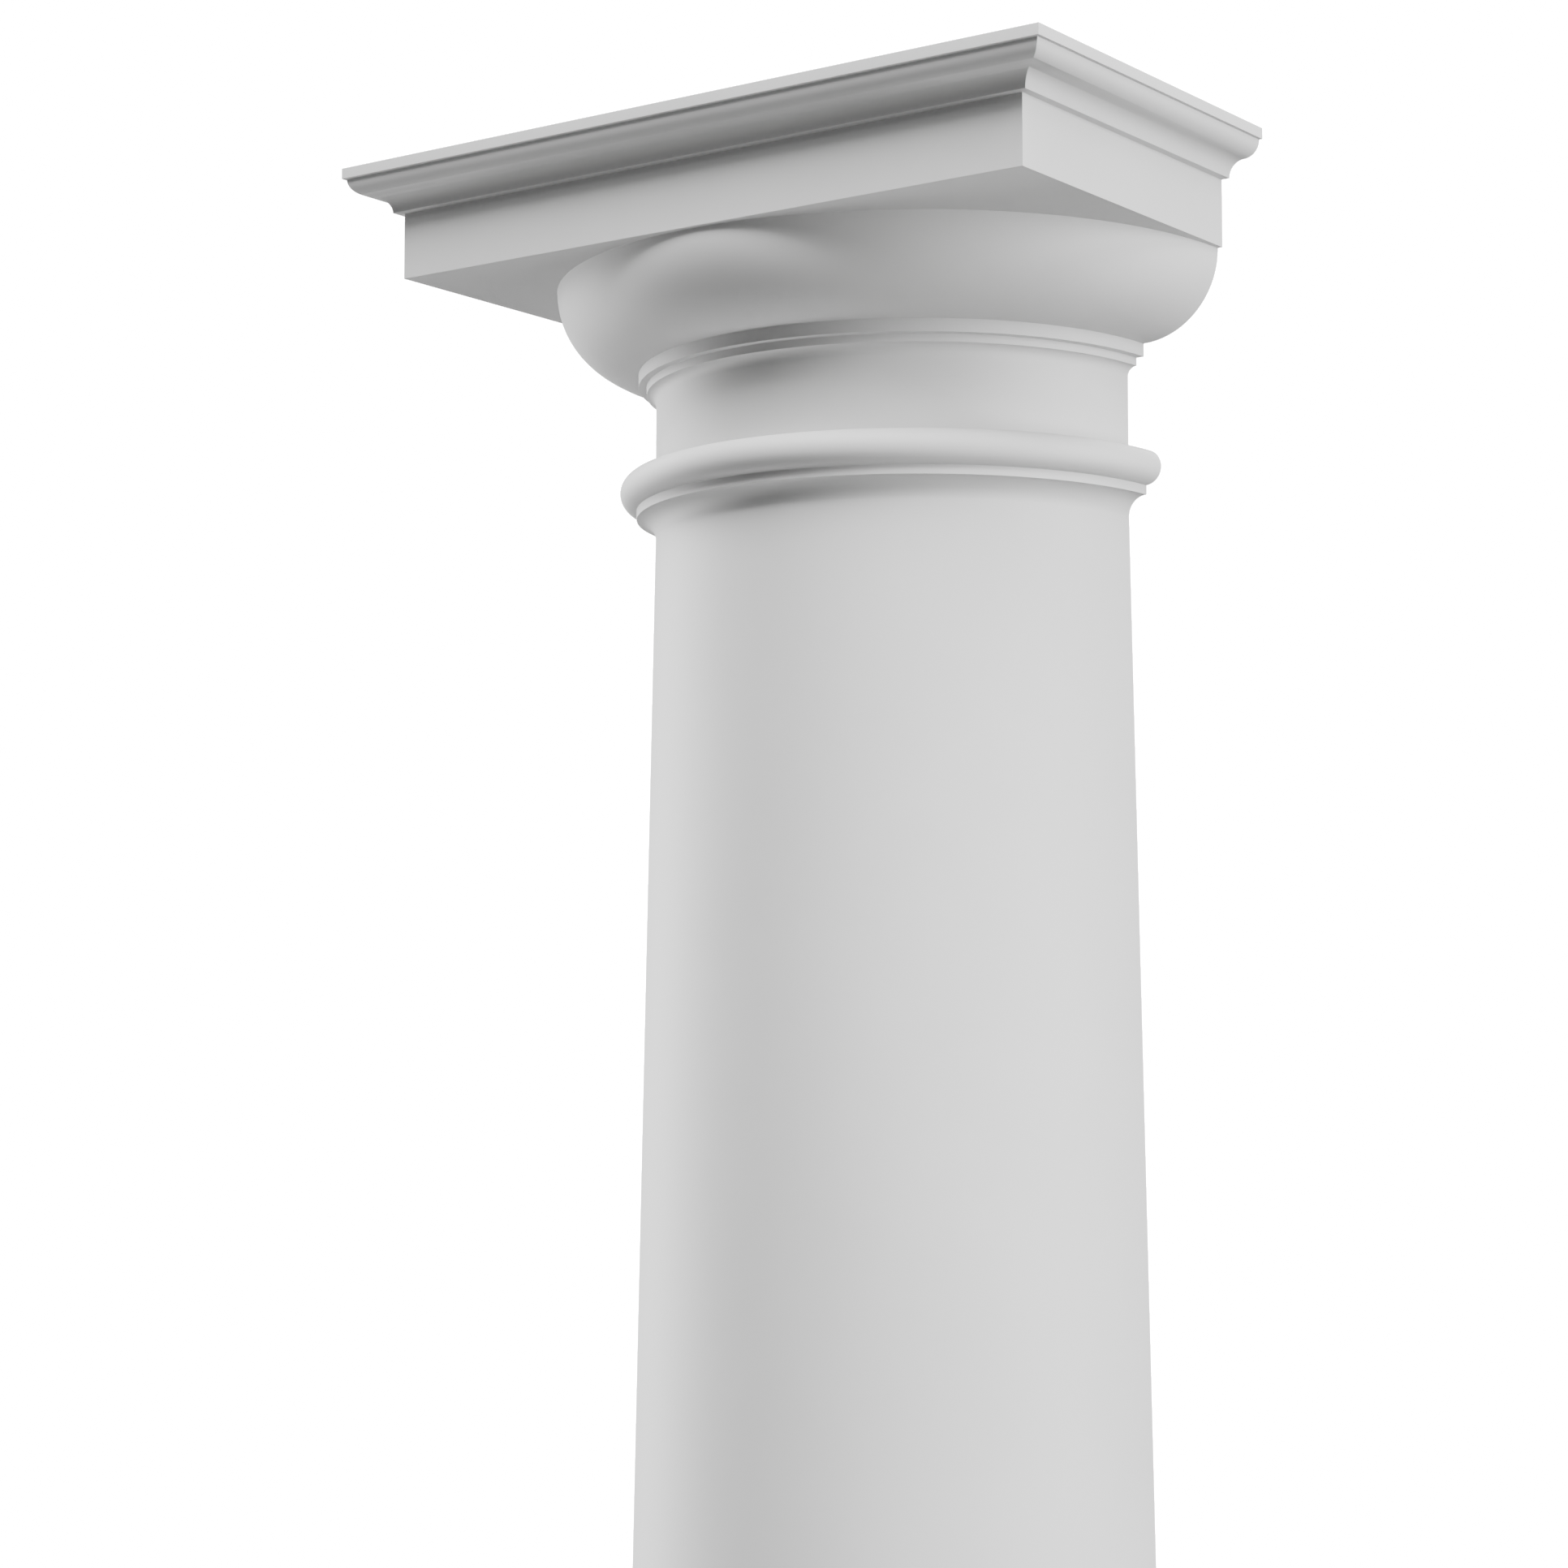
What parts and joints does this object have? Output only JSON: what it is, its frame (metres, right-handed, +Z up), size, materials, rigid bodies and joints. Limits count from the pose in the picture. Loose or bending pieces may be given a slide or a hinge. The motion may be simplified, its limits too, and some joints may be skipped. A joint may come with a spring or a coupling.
{
  "type": "half column",
  "caption": "Half column with a flat back, for standing against a wall: square moulded capital, tapering round shaft, and a plain torus base on a plinth.",
  "frame": {"origin": "on the floor, under the middle of the half column's box, which is the middle of the plinth's underside", "axes": "+Z up along the column, +Y square out of the flat back towards the wall, +X to the right seen from the front, and the front faces -Y"},
  "size_m": [0.512, 0.256, 2.6],
  "materials": {
    "capital_white": "matt light grey-white primer",
    "shaft_white": "matt light grey-white primer",
    "base_white": "matt light grey-white primer"
  },
  "bodies": {
    "root": {"capital": "capital_white", "shaft": "shaft_white", "base": "base_white"}
  },
  "joints": []
}
